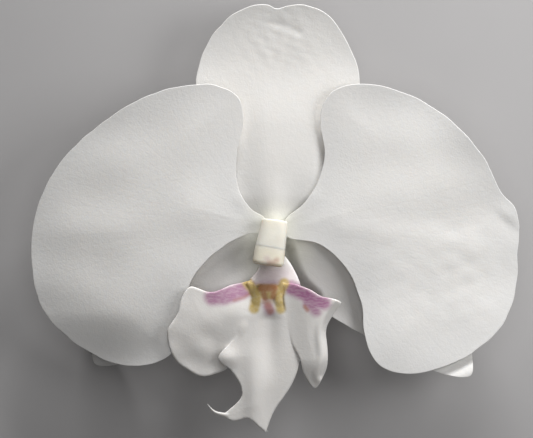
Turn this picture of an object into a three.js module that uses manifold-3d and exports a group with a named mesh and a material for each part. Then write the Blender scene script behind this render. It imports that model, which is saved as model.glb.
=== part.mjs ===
// One white moth orchid flower, picked with a short stalk and laid on its back on a flat surface.
// Millimetres. +Z points up, out of the flower's face. +Y runs from the middle of the flower along
// the dorsal sepal, and left and right are as seen looking down on the face. The origin is on the
// surface, under the middle of the flower's outline.
import * as THREE from "three";
import { mergeVertices } from "three/addons/utils/BufferGeometryUtils.js";
import Module from "manifold-3d";

const wasm = await Module();
wasm.setup();

// Heights above the surface, from the back of the flower to its front.
const STALK_TOP = 9.6;
const SEPAL_ROOT = 10.5;
const PETAL_ROOT = 12.2;
const LIP_ROOT = 12.0;
const SEPAL_REST = 0.1;
const SEPAL_BEHIND = 1.3; // how far the right lateral sepal keeps behind its petal
const COLUMN_SEAT = 9.9; // clear of the stalk, as every piece is of its neighbours

// Sheet thicknesses in the middle and at the edge.
const SEPAL_SHEET = { core: 0.9, rim: 0.45 };
const PETAL_SHEET = { core: 0.9, rim: 0.4 };
const LOBE_SHEET = { core: 1.0, rim: 0.5 };

// Outlines seen from the front, as points on one closed smooth curve, with the hub they spread from.
const DORSAL_SEPAL = {
  hub: [0.5, 25],
  edge: [
    [-3.2, 0.65], [-6.4, 3], [-10, 8], [-13.5, 16], [-16.8, 26], [-17, 31], [-14.7, 37.5], [-10.4, 43],
    [-5, 45.9], [-1.6, 46], [0.3, 45.3], [3, 45.9], [6.5, 46], [11.5, 43.8], [15.3, 38.6],
    [17.9, 32.5], [18.2, 26], [14.5, 15], [10, 7], [6.4, 3], [3.2, 0.65],
  ],
};
const LEFT_LATERAL_SEPAL = {
  hub: [-25, -18],
  tip: [-38.5, -31],
  edge: [
    [-3.1, -2], [-3.1, -5.8], [-3.4, -9.6], [-5, -13.6], [-9, -19], [-15.5, -24.4], [-24, -28.6],
    [-33, -31.8], [-37, -32.7], [-39.6, -32.2], [-40.3, -29.5], [-41, -20.5], [-36.5, -10.5],
    [-26, -3.8], [-13, -1.6],
  ],
};
const RIGHT_LATERAL_SEPAL = {
  hub: [26, -19],
  edge: [
    [2.9, -2], [2.9, -5.8], [2.7, -9.2], [3.4, -12.6], [5.6, -16.4], [11, -20.6], [21, -26.4],
    [31, -31.6], [36.5, -33.8], [41.9, -34.2], [42.6, -33.2], [42.5, -29], [41.5, -20.5], [37, -11],
    [27, -4.6], [13, -1.8],
  ],
};
const LEFT_PETAL = {
  hub: [-25, -2],
  edge: [
    [-2.9, -0.2], [-5.6, 2.3], [-8.2, 7.5], [-8.3, 14], [-6.9, 20], [-7.6, 25.4], [-11, 28], [-16, 28.7],
    [-26, 26.8], [-37, 20.6], [-46.3, 12], [-51.4, 2], [-52.7, -8], [-50.6, -19], [-45, -25.6],
    [-37.5, -30.4], [-32, -32], [-25, -31], [-21.6, -28], [-20.4, -20.5], [-17, -11.8], [-10.6, -5.8],
    [-5.4, -3.4], [-2.9, -3],
  ],
};
const RIGHT_PETAL = {
  hub: [26, -2],
  edge: [
    [2.95, -0.4], [6, 2.9], [9.5, 8.2], [10.7, 14.5], [9.7, 20.5], [10.6, 25], [13.5, 27.9], [20, 28.8],
    [29, 26.4], [38, 20.8], [45, 12.8], [48.7, 5.6], [51.6, 2.2], [52.7, -1.4], [52.4, -7], [52, -15],
    [49, -23.2], [42.5, -29.1], [34.5, -32.7], [27.5, -33.6], [22.3, -31.6], [19.6, -26.5],
    [18.5, -18], [15.4, -11], [9.6, -5.7], [2.95, -3.8],
  ],
};
// How each petal swells from its root, sinks again outward, and droops along its lower edge.
const LEFT_PETAL_FORM = { swell: 0.13, sink: 0.003, droop: 1.2 };
const RIGHT_PETAL_FORM = { swell: 0.035, sink: 0.0007, droop: -1 };
// Where the right lateral sepal is sunk, beside the claw.
const CLAW_SIDE = [[2, -7.5], [2.4, -9.5], [3.6, -12.5], [5.2, -15], [7.7, -17.5]];
const LEFT_LOBE = {
  hub: [-14, -24],
  edge: [
    [-4.4, -13.8], [-9, -14.4], [-14.6, -15.9], [-18.3, -14.7], [-20.2, -17.6], [-20.9, -20.5],
    [-23.2, -24.6], [-22.5, -28.6], [-19.6, -32.3], [-15.8, -34], [-11.8, -33.3], [-8, -30.4],
    [-5, -25], [-3.6, -19],
  ],
};
const RIGHT_LOBE = {
  hub: [6.4, -24],
  edge: [
    [2.4, -14.2], [6.2, -14.8], [10, -16.8], [14.4, -18.1], [12.7, -20.2], [11.1, -24], [11.4, -30],
    [10.6, -33.8], [8.5, -36.7], [6.4, -33.8], [5, -30], [3.3, -26], [2.2, -21], [1.8, -16.5],
  ],
};

// The lip's long middle lobe, by its four sides: two flanks, the throat, and the cleft tip.
const MIDDLE_LOBE = {
  left: [
    [-3.1, -11.4], [-5.9, -15], [-6.7, -20], [-8, -25],
    [-12.2, -30.2], [-9.3, -33], [-7.1, -38], [-11.4, -42.6],
  ],
  right: [
    [2.3, -11.4], [3.9, -15], [3.2, -20], [4.5, -26],
    [5.3, -30.6], [3.7, -35.6], [-0.4, -42], [-2, -46.2],
  ],
  throat: [[-3.1, -11.4], [-0.4, -11], [2.3, -11.4]],
  tip: [[-11.4, -42.6], [-9, -43.7], [-5.8, -43.1], [-3.8, -44.6], [-2, -46.2]],
};
const LIP_TENDRILS = [
  { start: [-10.4, -42.7, 14.6], middle: [-13, -41.6, 14.9], end: [-14.6, -39.9, 15.6] },
  { start: [-2.6, -43.6, 14.6], middle: [-2, -46, 14.2], end: [-1.3, -46.1, 13.2] },
];
const TENDRIL_RADIUS = [0.45, 0.22];

// The claw, the narrow neck by which the lip joins the foot of the column.
const CLAW_LINE = [
  [0, -9.9, LIP_ROOT - 0.4],
  [0.1, -11.6, LIP_ROOT - 0.1],
  [0, -14, LIP_ROOT + 0.6],
  [-0.6, -16.5, LIP_ROOT + 1.1],
];
const CLAW_ACROSS = [2.6, 3.9, 5.4, 4.2];
const CLAW_DEEP = [0.8, 0.75, 0.7, 0.5];

// The callus, a small four-winged crest between the side lobes.
const CALLUS_OUTLINE = [
  [-5.9, -14], [-3.6, -15], [-1.7, -15.2], [-0.2, -15.1], [1.6, -14.7],
  [1.1, -17], [1.4, -19.6], [-0.6, -19.8], [-3.2, -19.4], [-4.9, -19.7], [-4.6, -16.9],
];
const CALLUS_BASE = 12.6;
const CALLUS_HEIGHT = 2.2;
const CALLUS_BEVEL = 0.4;

// Column: an upright stem on its root, and the body that leaves it forward to its head, each as a
// centre line with half widths across and front to back.
const STEM_LINE = [
  [-0.1, -2.8, COLUMN_SEAT],
  [-0.1, -2.8, 12.2],
  [-0.2, -2.8, 14.6],
];
const STEM_ACROSS = [2.6, 2.6, 2.6];
const STEM_DEEP = [2.4, 2.2, 2.1];
const COLUMN_LINE = [
  [-0.1, -0.7, 14.5],
  [-0.5, -3.6, 14.9],
  [-1, -6.3, 15.2],
];
const COLUMN_ACROSS = [2.8, 3.05, 3.3];
const COLUMN_DEEP = [1.9, 2, 2];
const FOOT_LINE = [[-0.3, -4.6, 11.6], [-0.45, -6.6, 11.4], [-0.6, -9.1, 11.5]];
const FOOT_ACROSS = [2.1, 1.9, 1.6];
const FOOT_DEEP = [1.2, 1.1, 1];

// Anther cap, a hollow hood on the column's head, and the pollen masses kept under it.
const CAP_CENTRE = [-1.3, -7.9, 15.1];
const CAP_HALF = [3.5, 2.35, 2.4];
const CAP_HOLLOW_CENTRE = [-1.3, -8.6, 14.2];
const CAP_HOLLOW_HALF = [2.5, 1.9, 2.4];
const POLLEN_HALF = [0.75, 0.65, 0.75];
const POLLEN_SPACING = 2;
const POLLEN_CENTRE = [-1.3, -8.9, 14.9];
const STIPE_LINE = [[-1.3, -9, 14.1], [-1.3, -8.95, 13.6], [-1.3, -8.8, 13.1]];
const STIPE_RADIUS = [0.32, 0.32];
const HEAD_CLEARANCE = 0.35;

// Stalk: the thick ovary behind the flower, bending down on to the surface, then the curved
// pedicel lying along it to its cut end. It carries the flower together with the left sepal's tip.
const STALK_LINE = [
  [0, -3, STALK_TOP],
  [0, -3, 7.6],
  [0.3, -0.8, 4.3],
  [2.2, 4.2, 2.2],
  [7.5, 8, 1.7],
  [14, 6, 1.55],
  [19.5, 0, 1.5],
  [23, -8, 1.45],
  [24, -16, 1.45],
];
const STALK_RADIUS = [3, 2.7, 2.2, 1.9, 1.8, 1.7, 1.65, 1.6, 1.6];
const STALK_SIDE = [1, 0, 1];

const PETAL_WHITE = 0xe9e6e3;
const SEPAL_WHITE = 0xe4e1db;
const LIP_WHITE = 0xdedad5;
const COLUMN_CREAM = 0xe8dfc9;
const CAP_CREAM = 0xe3d6b4;
const POLLEN_YELLOW = 0xd9a93a;
const STIPE_AMBER = 0xc9b98a;
const STALK_GREEN = 0xa9b878;

// A smooth step from 0 to 1 as a value goes from one limit to the other.
const step = (value, from, to) => THREE.MathUtils.smoothstep(value, from, to);
// A bump of height 1 that fades over a width.
const bump = (distance, width) => Math.exp(-((distance / width) ** 2));
// A value between two others, by its share of the way.
const mix = THREE.MathUtils.lerp;

// How far a point of the plan is from a line of points.
function lineDistance(x, y, line) {
  const place = new THREE.Vector3(x, y, 0);
  const near = new THREE.Vector3();
  return Math.min(
    ...line.slice(1).map((end, i) => {
      const [from, to] = flat([line[i], end]);
      return new THREE.Line3(from, to).closestPointToPoint(place, true, near).distanceTo(place);
    }),
  );
}

// Height of the dorsal sepal: it keeps close behind the petals, with a broad low band along its
// middle, then leans back a little, and its tip is cupped forward.
function dorsalHeight(x, y) {
  const seat = bump(x, 3.5) * (1 - step(y, 2, 10));
  const lean = 0.8 * mix(step(y, -1, 5), 1.3, seat) - 1.5 * step(y, 5, 36);
  const tip = 0.007 * Math.max(y - 32, 0) ** 2;
  const arch = mix(-0.001, 0.002, step(y, 14, 30));
  const across = step(x, -8.5, -1.5) - step(x, 8, 12);
  const band = 0.4 * across * mix(0.3, 1, step(y, 1, 10)) * (1 - step(y, 20, 32));
  return SEPAL_ROOT + lean + tip + arch * (x - 0.8) ** 2 + band;
}

// The left lateral sepal leans back from the gap beside the column, and rests on its tip.
function leftSepalHeight(x, y) {
  const [tipX, tipY] = LEFT_LATERAL_SEPAL.tip;
  const length = Math.hypot(tipX, tipY);
  const along = (x * tipX + y * tipY) / length;
  const off = (x * tipY - y * tipX) / length;
  const lean = mix(SEPAL_ROOT, SEPAL_REST, step(along, 20, length));
  return lean + 0.004 * off ** 2 * step(along, 6, 24);
}

// The right lateral sepal sinks beside the claw, keeps close behind its petal farther out, and
// curls up where its tip shows past it.
function rightSepalHeight(x, y) {
  const out = Math.hypot(x, y);
  const dip = 2 * (1 - step(lineDistance(x, y, CLAW_SIDE), 0.2, 3.1));
  const sunk = SEPAL_ROOT - 0.9 * bump(out - 22, 12) - dip;
  // How far the place is past the petal's lower right edge, by that edge's line.
  const showing = ((x - 42.5) * 3.6 - (y + 29.1) * 8) / 8.8;
  const behind = petalHeight(x, y, RIGHT_PETAL_FORM) - SEPAL_BEHIND + 1.3 * step(showing, 0.6, 4);
  return mix(sunk, behind, step(out, 30, 44));
}

// Height of a petal: it swells forward from its root and sinks again outward, its upper edge curls
// forward and its lower edge droops.
function petalHeight(x, y, { swell, sink, droop }) {
  const out = Math.max(Math.abs(x) - 3, 0);
  const curl = 0.003 * Math.max(y - 10, 0) ** 2;
  return PETAL_ROOT + swell * out - sink * out ** 2 + curl - droop * step(-y, 14, 34);
}

// The left petal has a soft ridge along its midrib with a shallow hollow under it, and its lower
// outer corner falls away.
function leftPetalHeight(x, y) {
  const reach = step(-x, 12, 40);
  const midrib = mix(-0.5, -2.8, step(-x, 10, 48));
  const ridge = 0.06 * bump(y - midrib, 3.4) - 0.06 * bump(y - midrib + 6, 4);
  const corner = 1.4 * step(-y, 20, 33) * step(-x, 22, 40);
  return petalHeight(x, y, LEFT_PETAL_FORM) + reach * ridge - corner;
}

// The right petal is flatter, with a raised upper corner and a small ear at its outer edge.
function rightPetalHeight(x, y) {
  const corner = 2.7 * bump(Math.hypot(x - 50, y - 20), 14);
  const ear = 0.3 * bump(Math.hypot(x - 52, y - 1), 3);
  return petalHeight(x, y, RIGHT_PETAL_FORM) + corner + ear;
}

// Height of the lip along its middle: up from the claw to the callus and down again to the tip.
function lipHeight(x, y) {
  const rise = 2.8 * step(-y, 10, 21.5) - 0.2 * step(-y, 28, 46) - 0.5 * (1 - step(-y, 11.5, 14));
  const groove = -0.8 * bump(x + 1.2, 2.2) * step(-y, 19, 22) * step(y, -37, -25);
  const keel = 0.7 * bump(x + 4.3, 2.2) * step(-y, 25, 38);
  return LIP_ROOT + rise + groove + keel;
}

// The left side lobe grows out of the middle lobe and spreads over the petal. The right one stands
// up and curls outward.
function leftLobeHeight(x, y) {
  const free = LIP_ROOT + 1.4 + 0.12 * Math.max(-x - 4, 0) - 1.1 * step(-y, 20, 34);
  return mix(lipHeight(x, y), free, step(-x, 7, 14));
}
function rightLobeHeight(x, y) {
  return LIP_ROOT + 2.7 + 1.4 * step(x, 1.5, 9.4) - 0.6 * step(x, 9.8, 12) - step(-y, 30, 37);
}

const flat = (points) => points.map(([x, y]) => new THREE.Vector3(x, y, 0));
const smooth = (points, closed) => new THREE.CatmullRomCurve3(points, closed, "centripetal");

// Turns a middle surface into a closed sheet: both faces, and a wall round the given rim. No point
// goes below the surface that the flower lies on, so it is pressed flat where it rests.
function thicken(middle, triangles, rim, halfAt) {
  const surface = new THREE.BufferGeometry().setFromPoints(middle);
  surface.setIndex(triangles);
  surface.computeVertexNormals();
  const normals = surface.getAttribute("normal");
  const count = middle.length;
  const points = [1, -1].flatMap((side) =>
    middle.map((point, i) => {
      const normal = new THREE.Vector3().fromBufferAttribute(normals, i);
      const moved = point.clone().addScaledVector(normal, side * halfAt(i));
      moved.z = Math.max(moved.z, 0);
      return moved;
    }),
  );
  const index = [...triangles];
  for (let i = 0; i < triangles.length; i += 3) {
    const [a, b, c] = triangles.slice(i, i + 3);
    index.push(c + count, b + count, a + count);
  }
  rim.forEach((a, i) => {
    const b = rim[(i + 1) % rim.length];
    index.push(a, a + count, b, b, a + count, b + count);
  });
  return new THREE.BufferGeometry().setFromPoints(points).setIndex(index);
}

// A sheet inside a closed outline, as rings round a hub. height(x, y) gives its middle surface.
function bladeGeometry({ hub, edge }, height, sheet, spokes = 44, rings = 7) {
  const curve = smooth(flat(edge), true);
  const outline = curve.getSpacedPoints(spokes).slice(0, spokes);
  if (THREE.ShapeUtils.area(outline) < 0) outline.reverse();
  const middle = [new THREE.Vector3(hub[0], hub[1], height(...hub))];
  for (let ring = 1; ring <= rings; ring++) {
    const reach = (ring / rings) ** 0.85;
    for (const point of outline) {
      const x = mix(hub[0], point.x, reach);
      const y = mix(hub[1], point.y, reach);
      middle.push(new THREE.Vector3(x, y, height(x, y)));
    }
  }
  const at = (ring, spoke) => 1 + (ring - 1) * spokes + (spoke % spokes);
  const triangles = [];
  for (let spoke = 0; spoke < spokes; spoke++) {
    triangles.push(0, at(1, spoke), at(1, spoke + 1));
    for (let ring = 1; ring < rings; ring++) {
      triangles.push(at(ring, spoke), at(ring + 1, spoke), at(ring + 1, spoke + 1));
      triangles.push(at(ring, spoke), at(ring + 1, spoke + 1), at(ring, spoke + 1));
    }
  }
  const rim = outline.map((_, spoke) => at(rings, spoke));
  const half = (i) => (i < at(rings, 0) ? sheet.core : sheet.rim) / 2;
  return thicken(middle, triangles, rim, half);
}

// A sheet between four side curves that meet at their ends.
function patchGeometry({ left, right, throat, tip }, height, sheet, rows = 18, columns = 8) {
  const [west, east, north, south] = [left, right, throat, tip].map((side) => smooth(flat(side), false));
  const corners = [left[0], right[0], left.at(-1), right.at(-1)];
  const [northWest, northEast, southWest, southEast] = flat(corners);
  const middle = [];
  for (let row = 0; row <= rows; row++) {
    const down = row / rows;
    for (let column = 0; column <= columns; column++) {
      const across = column / columns;
      const point = north.getPointAt(across).multiplyScalar(1 - down);
      point.addScaledVector(south.getPointAt(across), down);
      point.addScaledVector(west.getPointAt(down), 1 - across);
      point.addScaledVector(east.getPointAt(down), across);
      point.addScaledVector(northWest, (down - 1) * (1 - across));
      point.addScaledVector(northEast, (down - 1) * across);
      point.addScaledVector(southWest, down * (across - 1));
      point.addScaledVector(southEast, -down * across);
      middle.push(point.setZ(height(point.x, point.y)));
    }
  }
  const at = (row, column) => row * (columns + 1) + column;
  const triangles = [];
  const rim = [];
  for (let row = 0; row < rows; row++) {
    for (let column = 0; column < columns; column++) {
      triangles.push(at(row, column), at(row + 1, column), at(row + 1, column + 1));
      triangles.push(at(row, column), at(row + 1, column + 1), at(row, column + 1));
    }
  }
  for (let row = 0; row < rows; row++) rim.push(at(row, 0));
  for (let column = 0; column < columns; column++) rim.push(at(rows, column));
  for (let row = rows; row > 0; row--) rim.push(at(row, columns));
  for (let column = columns; column > 0; column--) rim.push(at(0, column));
  const onRim = new Set(rim);
  return thicken(middle, triangles, rim, (i) => (onRim.has(i) ? sheet.rim : sheet.core) / 2);
}

// A tube with plain ends along a smooth line. Its half widths follow given stations: across is the
// one measured sideways, as nearly along the given side as the line allows, and deep is the one
// square to it. The line never runs along that side.
function tubeGeometry(line, across, deep, sides = 14, steps = 14, side = [1, 0, 0]) {
  const path = smooth(line.map((point) => new THREE.Vector3(...point)), false);
  const widthAt = (stations, t) => {
    const place = t * (stations.length - 1);
    const from = Math.min(Math.floor(place), stations.length - 2);
    return mix(stations[from], stations[from + 1], place - from);
  };
  const points = [];
  for (let i = 0; i <= steps; i++) {
    const centre = path.getPointAt(i / steps);
    const tangent = path.getTangentAt(i / steps);
    const sideways = new THREE.Vector3(...side).projectOnPlane(tangent).normalize();
    const square = new THREE.Vector3().crossVectors(tangent, sideways);
    for (let corner = 0; corner < sides; corner++) {
      const angle = (2 * Math.PI * corner) / sides;
      const point = centre.clone();
      point.addScaledVector(sideways, Math.cos(angle) * widthAt(across, i / steps));
      point.addScaledVector(square, Math.sin(angle) * widthAt(deep, i / steps));
      points.push(point.setZ(Math.max(point.z, 0)));
    }
  }
  const first = points.push(path.getPointAt(0)) - 1;
  const last = points.push(path.getPointAt(1)) - 1;
  const at = (ring, corner) => ring * sides + (corner % sides);
  const index = [];
  for (let corner = 0; corner < sides; corner++) {
    for (let ring = 0; ring < steps; ring++) {
      index.push(at(ring, corner), at(ring, corner + 1), at(ring + 1, corner + 1));
      index.push(at(ring, corner), at(ring + 1, corner + 1), at(ring + 1, corner));
    }
    index.push(first, at(0, corner + 1), at(0, corner));
    index.push(last, at(steps, corner), at(steps, corner + 1));
  }
  return new THREE.BufferGeometry().setFromPoints(points).setIndex(index);
}

// An ellipsoid by its centre and three half widths.
function ballGeometry(centre, half, columns = 16, rows = 10) {
  return new THREE.SphereGeometry(1, columns, rows).scale(...half).translate(...centre);
}

// Closed geometry to solid and back, for joining and cutting.
function solid(geometry) {
  const plain = geometry.clone();
  plain.deleteAttribute("normal");
  plain.deleteAttribute("uv");
  const merged = mergeVertices(plain, 1e-4);
  const mesh = new wasm.Mesh({
    numProp: 3,
    vertProperties: merged.getAttribute("position").array,
    triVerts: new Uint32Array(merged.index.array),
  });
  return new wasm.Manifold(mesh);
}
function geometryOf(body) {
  const { vertProperties, triVerts } = body.getMesh();
  const geometry = new THREE.BufferGeometry();
  geometry.setAttribute("position", new THREE.BufferAttribute(vertProperties, 3));
  return geometry.setIndex(new THREE.BufferAttribute(triVerts, 1));
}
const join = (geometries) => geometries.map(solid).reduce((all, next) => all.add(next));

function lipGeometry() {
  const shape = new THREE.Shape(CALLUS_OUTLINE.map(([x, y]) => new THREE.Vector2(x, y)));
  const callus = new THREE.ExtrudeGeometry(shape, {
    depth: CALLUS_HEIGHT,
    bevelSize: CALLUS_BEVEL,
    bevelThickness: CALLUS_BEVEL,
    bevelOffset: -CALLUS_BEVEL,
    bevelSegments: 1,
  });
  const tendrils = LIP_TENDRILS.map(({ start, middle, end }) =>
    tubeGeometry([start, middle, end], TENDRIL_RADIUS, TENDRIL_RADIUS, 6, 6),
  );
  const lip = join([
    patchGeometry(MIDDLE_LOBE, lipHeight, LOBE_SHEET),
    bladeGeometry(LEFT_LOBE, leftLobeHeight, LOBE_SHEET, 32, 5),
    bladeGeometry(RIGHT_LOBE, rightLobeHeight, LOBE_SHEET, 32, 5),
    callus.translate(0, 0, CALLUS_BASE),
    tubeGeometry(CLAW_LINE, CLAW_ACROSS, CLAW_DEEP, 12, 4),
    ...tendrils,
  ]);
  return geometryOf(lip);
}

function columnGeometry() {
  const stem = tubeGeometry(STEM_LINE, STEM_ACROSS, STEM_DEEP, 14, 6);
  const body = tubeGeometry(COLUMN_LINE, COLUMN_ACROSS, COLUMN_DEEP, 14, 8);
  const foot = tubeGeometry(FOOT_LINE, FOOT_ACROSS, FOOT_DEEP, 12, 5);
  return geometryOf(join([stem, body, foot]));
}

// The cap is hollow underneath, and cut back from the column's head by the clearance.
function capGeometry() {
  const grown = (widths) => [...widths, widths.at(-1)].map((width) => width + HEAD_CLEARANCE);
  const head = new THREE.CatmullRomCurve3(COLUMN_LINE.map((point) => new THREE.Vector3(...point)));
  const beyond = head.getPointAt(1).addScaledVector(head.getTangentAt(1), HEAD_CLEARANCE);
  const roomLine = [...COLUMN_LINE, beyond.toArray()];
  const room = tubeGeometry(roomLine, grown(COLUMN_ACROSS), grown(COLUMN_DEEP));
  const hollow = ballGeometry(CAP_HOLLOW_CENTRE, CAP_HOLLOW_HALF);
  const whole = solid(ballGeometry(CAP_CENTRE, CAP_HALF, 20, 12));
  return geometryOf(whole.subtract(solid(hollow)).subtract(solid(room)));
}

function pollenGeometry(side) {
  const [x, y, z] = POLLEN_CENTRE;
  return ballGeometry([x + (side * POLLEN_SPACING) / 2, y, z], POLLEN_HALF, 12, 8);
}

const flower = new THREE.Group();
function piece(name, geometry, color, roughness) {
  const material = new THREE.MeshStandardMaterial({ color, roughness, metalness: 0 });
  const mesh = new THREE.Mesh(geometry, material);
  mesh.name = name;
  flower.add(mesh);
}

const stalk = tubeGeometry(STALK_LINE, STALK_RADIUS, STALK_RADIUS, 14, 30, STALK_SIDE);
const dorsalSepal = bladeGeometry(DORSAL_SEPAL, dorsalHeight, SEPAL_SHEET);
const leftSepal = bladeGeometry(LEFT_LATERAL_SEPAL, leftSepalHeight, SEPAL_SHEET);
const rightSepal = bladeGeometry(RIGHT_LATERAL_SEPAL, rightSepalHeight, SEPAL_SHEET);
const leftPetal = bladeGeometry(LEFT_PETAL, leftPetalHeight, PETAL_SHEET, 52);
const rightPetal = bladeGeometry(RIGHT_PETAL, rightPetalHeight, PETAL_SHEET, 52);
const stipe = tubeGeometry(STIPE_LINE, STIPE_RADIUS, STIPE_RADIUS, 8, 4);

piece("stalk", stalk, STALK_GREEN, 0.5);
piece("dorsal_sepal", dorsalSepal, SEPAL_WHITE, 0.6);
piece("left_lateral_sepal", leftSepal, SEPAL_WHITE, 0.6);
piece("right_lateral_sepal", rightSepal, SEPAL_WHITE, 0.6);
piece("left_petal", leftPetal, PETAL_WHITE, 0.6);
piece("right_petal", rightPetal, PETAL_WHITE, 0.6);
piece("lip", lipGeometry(), LIP_WHITE, 0.55);
piece("column", columnGeometry(), COLUMN_CREAM, 0.5);
piece("anther_cap", capGeometry(), CAP_CREAM, 0.45);
piece("left_pollinium", pollenGeometry(-1), POLLEN_YELLOW, 0.4);
piece("right_pollinium", pollenGeometry(1), POLLEN_YELLOW, 0.4);
piece("stipe", stipe, STIPE_AMBER, 0.5);

export default flower;
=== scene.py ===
"""A white moth orchid flower, picked and laid face up: stalk, sepals, petals, lip and column.

Shapes are worked out in millimetres and put into Blender in metres. +Z points up out of the
flower's face, +Y runs from its middle along the dorsal sepal, and left and right are as seen
looking down on the face.
"""
import math

import bpy
import numpy as np
from bpy.props import FloatProperty, FloatVectorProperty, PointerProperty
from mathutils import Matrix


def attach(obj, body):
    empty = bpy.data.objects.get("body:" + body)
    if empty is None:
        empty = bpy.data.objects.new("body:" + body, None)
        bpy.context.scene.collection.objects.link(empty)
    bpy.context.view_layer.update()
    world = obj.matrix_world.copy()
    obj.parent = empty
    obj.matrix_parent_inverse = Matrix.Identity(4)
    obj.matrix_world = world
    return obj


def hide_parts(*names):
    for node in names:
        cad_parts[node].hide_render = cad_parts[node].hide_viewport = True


bl_info = {
    "name": "Moth Orchid Flower",
    "version": (1, 0, 0),
    "blender": (4, 5, 0),
    "location": "3D View > Sidebar > Orchid",
    "description": "Builds a picked white moth orchid flower on a plain studio floor",
    "category": "Add Mesh",
}

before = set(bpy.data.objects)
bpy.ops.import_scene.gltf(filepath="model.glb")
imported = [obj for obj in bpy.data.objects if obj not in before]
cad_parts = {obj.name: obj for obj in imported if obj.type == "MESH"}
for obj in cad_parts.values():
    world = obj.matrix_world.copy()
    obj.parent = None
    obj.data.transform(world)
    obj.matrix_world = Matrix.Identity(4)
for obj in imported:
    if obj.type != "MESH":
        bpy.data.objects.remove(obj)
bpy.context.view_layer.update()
MM = 0.001

# Heights of the roots above the floor, and the height at which a sepal's tip rests.
SEPAL_ROOT = 10.5
PETAL_ROOT = 12.2
LIP_ROOT = 12.0
SEPAL_REST = 0.1

# How each petal swells from its root, sinks again outward, and droops along its lower edge.
LEFT_PETAL_FORM = (0.13, 0.003, 1.2)
RIGHT_PETAL_FORM = (0.035, 0.0007, -1.0)
SEPAL_BEHIND = 1.15  # how far the right lateral sepal keeps behind its petal

# Outlines seen from the front, as points on one closed smooth curve, with the hub they spread from.
DORSAL_SEPAL = {
    "hub": (0.5, 25),
    "tip": (0.8, 46),
    "edge": [
        (-3.2, -0.7), (-6.6, 2.6), (-10, 8), (-13.5, 16), (-16.8, 26), (-17, 31), (-14.7, 37.5),
        (-10.4, 43), (-5, 45.9), (-1.6, 46), (0.3, 45.3), (3, 45.9), (6.5, 46), (11.5, 43.8),
        (15.3, 38.6), (17.9, 32.5), (18.2, 26), (14.5, 15), (10, 7), (6.6, 2.6), (3.2, -0.7),
    ],
}
LEFT_LATERAL_SEPAL = {
    "hub": (-25, -18),
    "tip": (-38.5, -31),
    "edge": [
        (-2.5, -2), (-2.6, -5.8), (-3, -9.6), (-5, -13.6), (-9, -19), (-15.5, -24.4), (-24, -28.6),
        (-33, -31.8), (-37, -32.7), (-39.6, -32.2), (-40.3, -29.5), (-41, -20.5), (-36.5, -10.5),
        (-26, -3.8), (-13, -1.6),
    ],
}
RIGHT_LATERAL_SEPAL = {
    "hub": (26, -19),
    "tip": (41, -33),
    "edge": [
        (2.4, -2), (2.2, -5.8), (2.2, -9.2), (3.2, -12.6), (5.4, -16.4), (11, -20.6), (21, -26.4),
        (31, -31.6), (36.5, -33.8), (41.9, -34.2), (42.6, -33.2), (42.5, -29), (41.5, -20.5),
        (37, -11), (27, -4.6), (13, -1.8),
    ],
}
LEFT_PETAL = {
    "hub": (-25, -2),
    "edge": [
        (-2.2, -0.2), (-5.6, 2.3), (-8.2, 7.5), (-8.3, 14), (-6.9, 20), (-7.6, 25.4), (-11, 28),
        (-16, 28.7), (-26, 26.8), (-37, 20.6), (-46.3, 12), (-51.4, 2), (-52.7, -8),
        (-50.6, -19), (-45, -25.6), (-37.5, -30.4), (-32, -32), (-25, -31), (-21.6, -28),
        (-20.4, -20.5), (-17, -11.8), (-10.6, -5.8), (-5.4, -3.4), (-2.2, -3),
    ],
}
RIGHT_PETAL = {
    "hub": (26, -2),
    "edge": [
        (2.2, -0.4), (6, 2.9), (9.5, 8.2), (10.7, 14.5), (9.7, 20.5), (10.6, 25), (13.5, 27.9),
        (20, 28.8), (29, 26.4), (38, 20.8), (45, 12.8), (48.7, 5.6), (51.6, 2.2), (52.7, -1.4),
        (52.4, -7), (52, -15), (49, -23.2), (42.5, -29.1), (34.5, -32.7), (27.5, -33.6),
        (22.3, -31.6), (19.6, -26.5), (18.5, -18), (15.4, -11), (9.6, -5.7), (2.2, -3.8),
    ],
}
LEFT_LOBE = {
    "hub": (-14, -24),
    "edge": [
        (-4.4, -13.8), (-9, -14.4), (-14.6, -15.9), (-18.3, -14.7), (-20.2, -17.6),
        (-20.9, -20.5), (-23.2, -24.6), (-22.5, -28.6), (-19.6, -32.3), (-15.8, -34),
        (-11.8, -33.3), (-8, -30.4), (-5, -25), (-3.6, -19),
    ],
}
RIGHT_LOBE = {
    "hub": (6.4, -24),
    "edge": [
        (2.4, -14.2), (6.2, -14.8), (10, -16.8), (14.4, -18.1), (12.7, -20.2), (11.1, -24),
        (11.4, -30), (10.6, -33.8), (8.5, -36.7), (6.4, -33.8), (5, -30), (3.3, -26), (2.2, -21),
        (1.8, -16.5),
    ],
}
RIGHT_LOBE_RIM = [(14.4, -18.1), (12.7, -20.2), (11.1, -24), (11.4, -30), (10.6, -33.8)]

# The lip's middle lobe, by its two flanks, its throat and its cleft tip.
MIDDLE_LOBE = {
    "left": [
        (-3.1, -11.4), (-5.9, -15), (-6.7, -20), (-8, -25),
        (-12.2, -30.2), (-9.3, -33), (-7.1, -38), (-11.4, -42.6),
    ],
    "right": [
        (2.3, -11.4), (3.9, -15), (3.2, -20), (4.5, -26),
        (5.3, -30.6), (3.7, -35.6), (-0.4, -42), (-2, -46.2),
    ],
    "throat": [(-3.1, -11.4), (-0.4, -11), (2.3, -11.4)],
    "tip": [(-11.4, -42.6), (-9, -43.7), (-5.8, -43.1), (-3.8, -44.6), (-2, -46.2)],
}

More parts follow.
